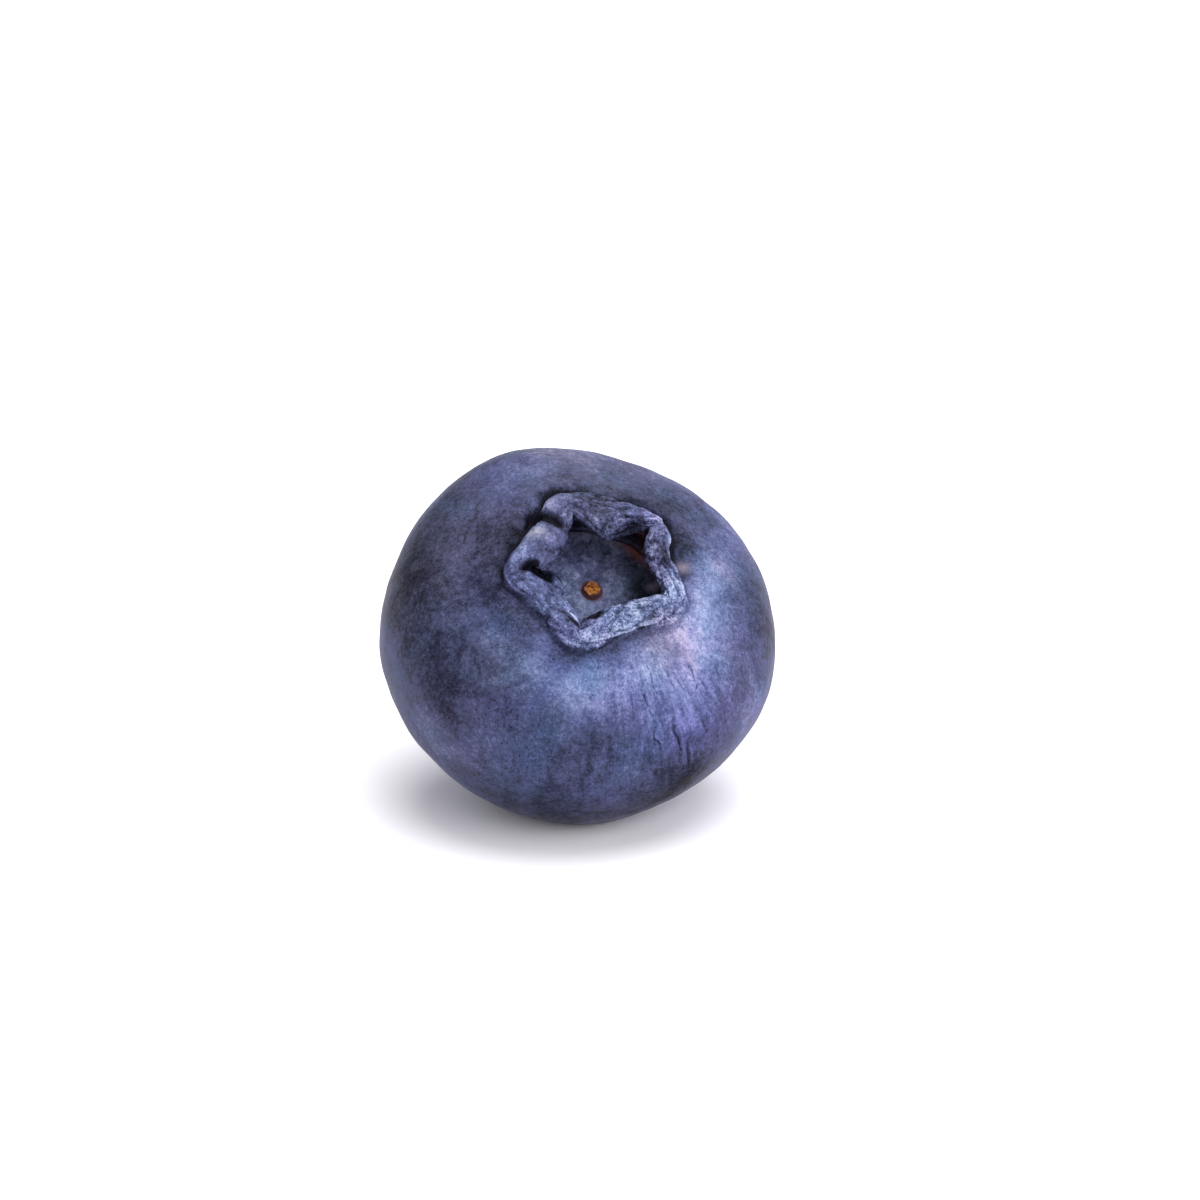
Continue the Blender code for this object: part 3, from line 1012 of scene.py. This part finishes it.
def scratch(tree, place, wobble, mark):
    """1 on a thin, wavering line over the skin between two directions from the body's middle.

    A point is on it if it is nearer than the width to the plane through the two directions, nearer
    than half the length to the line's middle along the line, and on their side of the body.
    """
    start = direction(*mark["start"])
    end = direction(*mark["end"])
    normal = np.cross(start, end)
    normal /= np.linalg.norm(normal)
    span = np.linalg.norm(end - start)
    run = (end - start) / span
    half = 0.5 * BODY_RADIUS * span
    width = mark["width"]
    wires = {0: place, 1: tuple(BODY_MIDDLE)}
    outward = add_node(tree, "ShaderNodeVectorMath", wires, operation="SUBTRACT").outputs[0]
    across = maths(tree, "ADD", along_axis(tree, outward, normal), wobble)
    across = maths(tree, "ABSOLUTE", across, 0.0)
    thin = spread(tree, across, SCRATCH_CORE * width, width, 1.0, 0.0)
    reach = maths(tree, "ABSOLUTE", along_axis(tree, outward, run), 0.0)
    within = spread(tree, reach, SCRATCH_RUN * half, half, 1.0, 0.0)
    near = maths(tree, "GREATER_THAN", along_axis(tree, outward, start + end), 0.0)
    return times(tree, times(tree, thin, within), near)


def swung_wax(tree, place, wax):
    """The stored wax, swung up and down by each of the bloom's noises where that noise belongs."""
    shares = {name: value_of(tree, name) for name in ("hollow", "rubbed", "crust")}
    shares["body"] = maths(tree, "SUBTRACT", 1.0, value_of(tree, "crown"))
    for row in BLOOM_NOISES:
        if "grain" in row:
            noise = grain(tree, place, *row["grain"])
        else:
            noise = streaks(tree, *row["streaks"])
        swing = spread(tree, noise, *NOISE_MIDDLE, -row["swing"], row["swing"])
        wax = maths(tree, "ADD", wax, times(tree, swing, shares[row["over"]]))
    return wax


def scratch_losses(tree, place):
    """Each scratch, worn away in places, and the wax that it loses."""
    noise = grain(tree, place, *WOBBLE["grain"])
    wobble = spread(tree, noise, *WOBBLE["cut"], -WOBBLE["reach"], WOBBLE["reach"])
    worn = cut_grain(tree, place, WEAR)
    losses = []
    for mark in SCRATCHES:
        line = scratch(tree, place, wobble, mark)
        losses.append((times(tree, line, worn), mark["loss"]))
    return losses


def worn_lines(tree, place):
    """1 on broken lines along the meridians where the skin is rubbed, and 0 elsewhere."""
    drawn = spread(tree, streaks(tree, *LINES["streaks"]), *LINES["range"])
    broken = times(tree, drawn, cut_grain(tree, place, LINE_BREAKS))
    return times(tree, broken, value_of(tree, "rubbed"))


def wax_cover(tree, place):
    """How thick the bloom is, from 0 bare to 1: the stored wax, with its painted light and shade,
    with frost, swung by the noises, less what the scratches, the marks (painted shade in the groove
    and the crown's recesses, and the scar's barer edge), the worn lines and the pores lose."""
    frost = times(tree, pores(tree, place, FROST["scale"], FROST["size"]), value_of(tree, "crust"))
    wax = maths(tree, "ADD", value_of(tree, "wax"), times(tree, frost, FROST["wax"]))
    wax = swung_wax(tree, place, wax)
    spots = pores(tree, place, PORES["scale"], PORES["size"])
    losses = scratch_losses(tree, place)
    losses += [(value_of(tree, name), loss) for name, loss in MARK_LOSSES.items()]
    losses.append((worn_lines(tree, place), LINES["loss"]))
    losses.append((times(tree, spots, cut_grain(tree, place, PORES)), PORES["loss"]))
    for share, loss in losses:
        wax = maths(tree, "SUBTRACT", wax, times(tree, share, loss))
    return maths(tree, "MAXIMUM", wax, 0.0)


def rough_shades(tree, place, recipe, stops):
    """A colour that goes along its stops with a fine noise."""
    return shades(tree, spread(tree, grain(tree, place, *recipe), *SHADE_RANGE), stops)


def skin_colour(tree, place, wax):
    """Dark indigo where the skin is bare, slate blue under thin bloom and pale lavender under
    thick, tinted by slow grains and stored values, with the wart, ring, scar and style over it."""
    colour = shades(tree, wax, WAX_SHADES)
    mauve = spread(tree, grain(tree, place, *MAUVE_GRAIN), *MAUVE_RANGE)
    colour = mixed(tree, mauve, colour, MAUVE, "MULTIPLY")
    hue = grain(tree, place, *HUE_GRAIN)
    for row in HUE_TINTS:
        colour = mixed(tree, spread(tree, hue, *row["range"]), colour, row["tint"], "MULTIPLY")
    for name, tint in TINTS.items():
        colour = mixed(tree, value_of(tree, name), colour, tint, "MULTIPLY")
    for name, overlay in OVERLAYS.items():
        colour = mixed(tree, value_of(tree, name), colour, overlay)
    cork = rough_shades(tree, place, CORK_GRAIN, CORK_SHADES)
    colour = mixed(tree, value_of(tree, "scar"), colour, cork)
    dry = rough_shades(tree, place, STYLE_GRAIN, STYLE_SHADES)
    return mixed(tree, value_of(tree, "style"), colour, dry)


def skin_finish():
    """Dark blue skin under an uneven bloom of pale wax, with a waxy crown and a brown dry style."""
    material = bpy.data.materials.new("bloomed_skin")
    material.use_nodes = True
    tree = material.node_tree
    shader = tree.nodes["Principled BSDF"]
    place = skin_place(tree)
    wax = wax_cover(tree, place)
    tree.links.new(skin_colour(tree, place, wax), shader.inputs["Base Color"])
    tree.links.new(spread(tree, wax, *ROUGHNESS), shader.inputs["Roughness"])
    tree.links.new(spread(tree, wax, *SPECULAR_LEVEL), shader.inputs["Specular IOR Level"])
    shader.inputs["Specular Tint"].default_value = SPECULAR_TINT
    tree.links.new(spread(tree, wax, *SHEEN_WEIGHT), shader.inputs["Sheen Weight"])
    shader.inputs["Sheen Roughness"].default_value = SHEEN_ROUGHNESS
    shader.inputs["Sheen Tint"].default_value = SHEEN_TINT
    fine, coarse = (grain(tree, place, *recipe) for recipe in BUMP_GRAINS)
    wires = {
        "Height": maths(tree, "ADD", fine, coarse),
        "Strength": BUMP_STRENGTH,
        "Distance": BUMP_DEPTH,
    }
    bump = add_node(tree, "ShaderNodeBump", wires)
    tree.links.new(bump.outputs["Normal"], shader.inputs["Normal"])
    return material


# The floor and the lights. Lengths are in metres here, and angles in degrees.
FLOOR_HALF = 1.5
FLOOR_DROP = 0.02 * MM
FLOOR_COLOUR = (0.94, 0.925, 0.965, 1.0)
FLOOR_ROUGHNESS = 0.9
FLOOR_SPECULAR_LEVEL = 0.1
SURROUND_STRENGTH = 0.66
WHITE = (1.0, 1.0, 1.0)
LIGHT_SPREAD = 55.0
LIGHT_DISTANCE = 0.3
LIGHTS = (
    {"name": "overhead", "azimuth": 50.0, "elevation": 76.0, "strength": 2.9},
    {"name": "front_right", "azimuth": -38.0, "elevation": 28.0, "strength": 2.1},
)


def make_floor():
    """A wide plain white floor, a hair below the berry."""
    low = -FLOOR_HALF
    high = FLOOR_HALF
    corners = [(x, y, -FLOOR_DROP) for x, y in ((low, low), (high, low), (high, high), (low, high))]
    mesh = bpy.data.meshes.new("floor")
    mesh.from_pydata(corners, [], [(0, 1, 2, 3)])
    material = bpy.data.materials.new("white_floor")
    material.use_nodes = True
    shader = material.node_tree.nodes["Principled BSDF"]
    shader.inputs["Base Color"].default_value = FLOOR_COLOUR
    shader.inputs["Roughness"].default_value = FLOOR_ROUGHNESS
    shader.inputs["Specular IOR Level"].default_value = FLOOR_SPECULAR_LEVEL
    mesh.materials.append(material)
    floor = bpy.data.objects.new("floor", mesh)
    bpy.context.collection.objects.link(floor)


def make_light(name, azimuth, elevation, strength):
    """A broad, even light from far off in one direction."""
    lamp = bpy.data.lights.new(name, "SUN")
    lamp.energy = strength
    lamp.angle = math.radians(LIGHT_SPREAD)
    lamp.color = WHITE
    light = bpy.data.objects.new(name, lamp)
    way = direction(azimuth, elevation)
    light.rotation_euler = (math.acos(way[2]), 0.0, math.atan2(way[1], way[0]) + math.pi / 2.0)
    light.location = way * LIGHT_DISTANCE
    bpy.context.collection.objects.link(light)


def light_scene():
    """A soft white surround with a broad light from above behind and one from the front right."""
    world = bpy.data.worlds.new("surround")
    world.use_nodes = True
    background = world.node_tree.nodes["Background"]
    background.inputs["Color"].default_value = (*WHITE, OPAQUE)
    background.inputs["Strength"].default_value = SURROUND_STRENGTH
    bpy.context.scene.world = world
    for row in LIGHTS:
        make_light(**row)
    bpy.context.scene.view_settings.view_transform = "Standard"


def make_camera():
    """A camera looking along +Y and down, placed so that the body's middle falls on its pixel."""
    data = bpy.data.cameras.new("camera")
    data.sensor_width = SENSOR_WIDTH
    data.lens = FOCAL_PIXELS / FRAME_PIXELS * SENSOR_WIDTH
    data.clip_start = CLIP_START
    data.clip_end = CLIP_END
    right = np.array([1.0, 0.0, 0.0])
    ahead = np.array([0.0, math.cos(LOOK_DOWN), -math.sin(LOOK_DOWN)])
    up = np.array([0.0, math.sin(LOOK_DOWN), math.cos(LOOK_DOWN)])
    across = (MIDDLE_PIXEL[0] - FRAME_PIXELS / 2) / FOCAL_PIXELS * CAMERA_DISTANCE
    above = (FRAME_PIXELS / 2 - MIDDLE_PIXEL[1]) / FOCAL_PIXELS * CAMERA_DISTANCE
    camera = bpy.data.objects.new("camera", data)
    spot = BODY_MIDDLE - across * right - above * up - CAMERA_DISTANCE * ahead
    camera.location = spot * MM
    camera.rotation_euler = (math.pi / 2.0 - LOOK_DOWN, 0.0, 0.0)
    bpy.context.collection.objects.link(camera)
    bpy.context.scene.camera = camera


skin = make_skin()
skin.data.materials.append(skin_finish())
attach(skin, "root")
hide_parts("berry")
make_floor()
light_scene()
make_camera()
